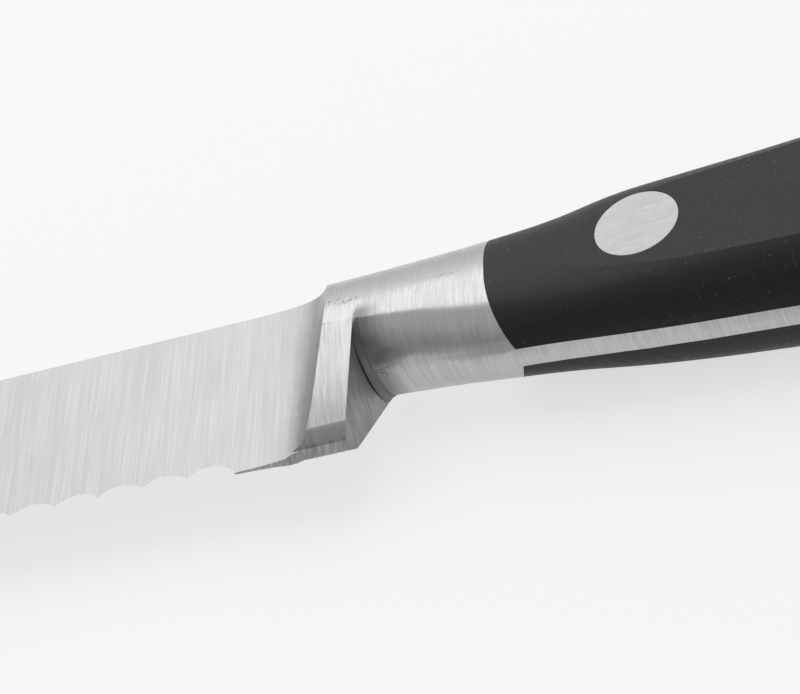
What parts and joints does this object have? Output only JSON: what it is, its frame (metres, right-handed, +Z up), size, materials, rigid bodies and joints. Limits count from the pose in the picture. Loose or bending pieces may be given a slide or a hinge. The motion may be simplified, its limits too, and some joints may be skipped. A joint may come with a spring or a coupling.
{
  "type": "tomato knife",
  "caption": "Forged kitchen knife with a scalloped edge, a ramped bolster with a wedge-shaped guard, and black scales riveted to a full tang.",
  "frame": {"origin": "on the middle rivet's axis, in the flat of the right scale that the knife lies on", "axes": "+X from the blade towards the butt, +Y from the cutting edge towards the spine, +Z up from the resting side to the left side"},
  "size_m": [0.2388, 0.0233, 0.014],
  "materials": {
    "blade_steel": "satin ground",
    "scale_plastic": "matte, lightly polished",
    "rivet_steel": "brushed flush with the scale"
  },
  "bodies": {
    "root": {"forging": "blade_steel", "handle_scale_left": "scale_plastic", "handle_scale_right": "scale_plastic", "rivet_socket_front": "rivet_steel", "rivet_socket_middle": "rivet_steel", "rivet_socket_rear": "rivet_steel", "rivet_stud_front": "rivet_steel", "rivet_stud_middle": "rivet_steel", "rivet_stud_rear": "rivet_steel"}
  },
  "joints": []
}
